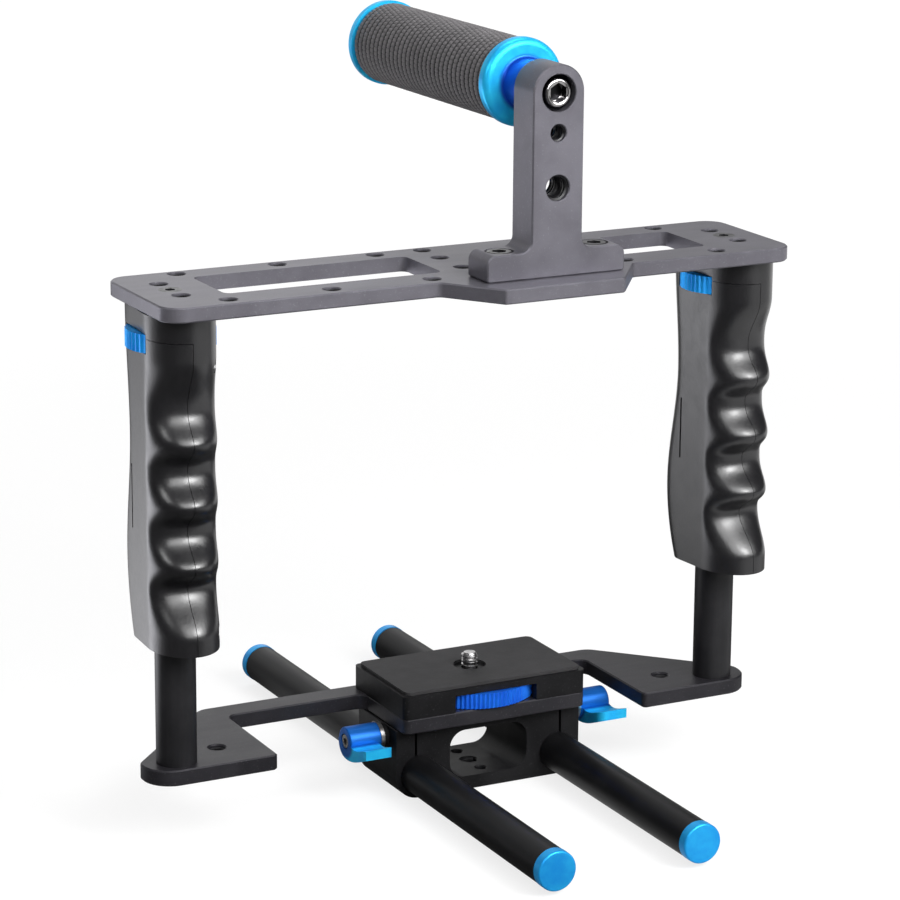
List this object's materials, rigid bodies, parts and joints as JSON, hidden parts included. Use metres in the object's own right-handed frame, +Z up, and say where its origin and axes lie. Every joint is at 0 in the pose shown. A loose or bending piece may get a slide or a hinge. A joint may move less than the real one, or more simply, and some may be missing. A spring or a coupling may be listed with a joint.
{
  "type": "camera cage",
  "caption": "Camera cage: grip-clad uprights join a drilled top plate to a rod-clamp base with thumb-wheel camera platform, 15 mm rods and a carrying handle on a post.",
  "frame": {"origin": "mouth of the tripod thread, in the middle of the rod clamp block's underside, on which the cage stands", "axes": "+Z up; +Y to the rear along the rods, with the lens side facing -Y; +X across, towards the upright that is nearer to the clamp"},
  "size_m": [0.2601, 0.2604, 0.2927],
  "materials": {
    "plate": "bead-blasted, dark grey anodised",
    "block": "bead-blasted, black anodised",
    "tube": "satin black anodised",
    "steel": "satin",
    "black_steel": "black oxide",
    "bolt_chrome": "bright plated",
    "core": "turned",
    "grip_rubber": "ribbed, matt",
    "pad_rubber": "matt",
    "blue": "blue anodised, satin",
    "grip_plastic": "smooth moulded, satin",
    "bush": "moulded"
  },
  "bodies": {
    "frame": {"top_plate": "plate", "base_plate": "plate", "left_tube": "tube", "right_tube": "tube", "left_tube_inserts": "steel", "right_tube_inserts": "steel", "tube_top_screws": "steel", "tube_bottom_screws": "black_steel", "handle_post": "plate", "post_screws": "black_steel", "handle_bolt": "bolt_chrome", "handle_front_flange": "blue", "handle_core": "core", "handle_sleeve": "grip_rubber", "handle_rear_flange": "blue", "handle_rear_screw": "bolt_chrome", "clamp_block": "block", "block_screws": "black_steel", "left_spacer": "plate", "right_spacer": "plate", "camera_carrier": "plate", "platform_screws": "black_steel", "camera_pad": "pad_rubber", "left_lever_washer": "steel", "right_lever_washer": "steel"},
    "camera_screw": {"camera_screw": "steel", "thumb_wheel": "blue"},
    "left_rod": {"left_rod": "tube", "left_rod_caps": "blue"},
    "left_lever": {"left_lever": "blue", "left_lever_stud": "steel", "left_lever_screw": "steel"},
    "left_grip": {"left_grip_shell_left": "grip_plastic", "left_grip_shell_right": "grip_plastic", "left_grip_screws": "black_steel", "left_grip_bushes": "bush", "left_lock_collar": "steel"},
    "left_lock_wheel": {"left_lock_wheel": "blue"},
    "right_rod": {"right_rod": "tube", "right_rod_caps": "blue"},
    "right_lever": {"right_lever": "blue", "right_lever_stud": "steel", "right_lever_screw": "steel"},
    "right_grip": {"right_grip_shell_left": "grip_plastic", "right_grip_shell_right": "grip_plastic", "right_grip_screws": "black_steel", "right_grip_bushes": "bush", "right_lock_collar": "steel"},
    "right_lock_wheel": {"right_lock_wheel": "blue"}
  },
  "joints": [
    {"name": "left_rod_slide", "type": "slide", "parent": "frame", "child": "left_rod", "axis": [0, 1, 0], "range_m": [-0.112, 0.104]},
    {"name": "right_rod_slide", "type": "slide", "parent": "frame", "child": "right_rod", "axis": [0, 1, 0], "range_m": [-0.112, 0.104]},
    {"name": "left_lever_turn", "type": "hinge", "parent": "frame", "child": "left_lever", "pos_m": [0, -0.006, 0.0235], "axis": [-1, 0, 0], "range_deg": [-30, 100]},
    {"name": "right_lever_turn", "type": "hinge", "parent": "frame", "child": "right_lever", "pos_m": [0, -0.006, 0.0235], "axis": [-1, 0, 0], "range_deg": [-30, 100]},
    {"name": "camera_screw_turn", "type": "hinge", "parent": "frame", "child": "camera_screw", "pos_m": [0, 0, 0.03745], "axis": [0, 0, 1], "continuous": true},
    {"name": "left_grip_swivel", "type": "hinge", "parent": "frame", "child": "left_grip", "pos_m": [-0.1332, -0.025, 0.143], "axis": [0, 0, 1], "continuous": true},
    {"name": "left_lock_wheel_turn", "type": "hinge", "parent": "left_grip", "child": "left_lock_wheel", "pos_m": [-0.1332, -0.025, 0.1935], "axis": [0, 0, 1], "continuous": true},
    {"name": "right_grip_swivel", "type": "hinge", "parent": "frame", "child": "right_grip", "pos_m": [0.0945, -0.025, 0.143], "axis": [0, 0, 1], "continuous": true},
    {"name": "right_lock_wheel_turn", "type": "hinge", "parent": "right_grip", "child": "right_lock_wheel", "pos_m": [0.0945, -0.025, 0.1935], "axis": [0, 0, 1], "continuous": true}
  ]
}
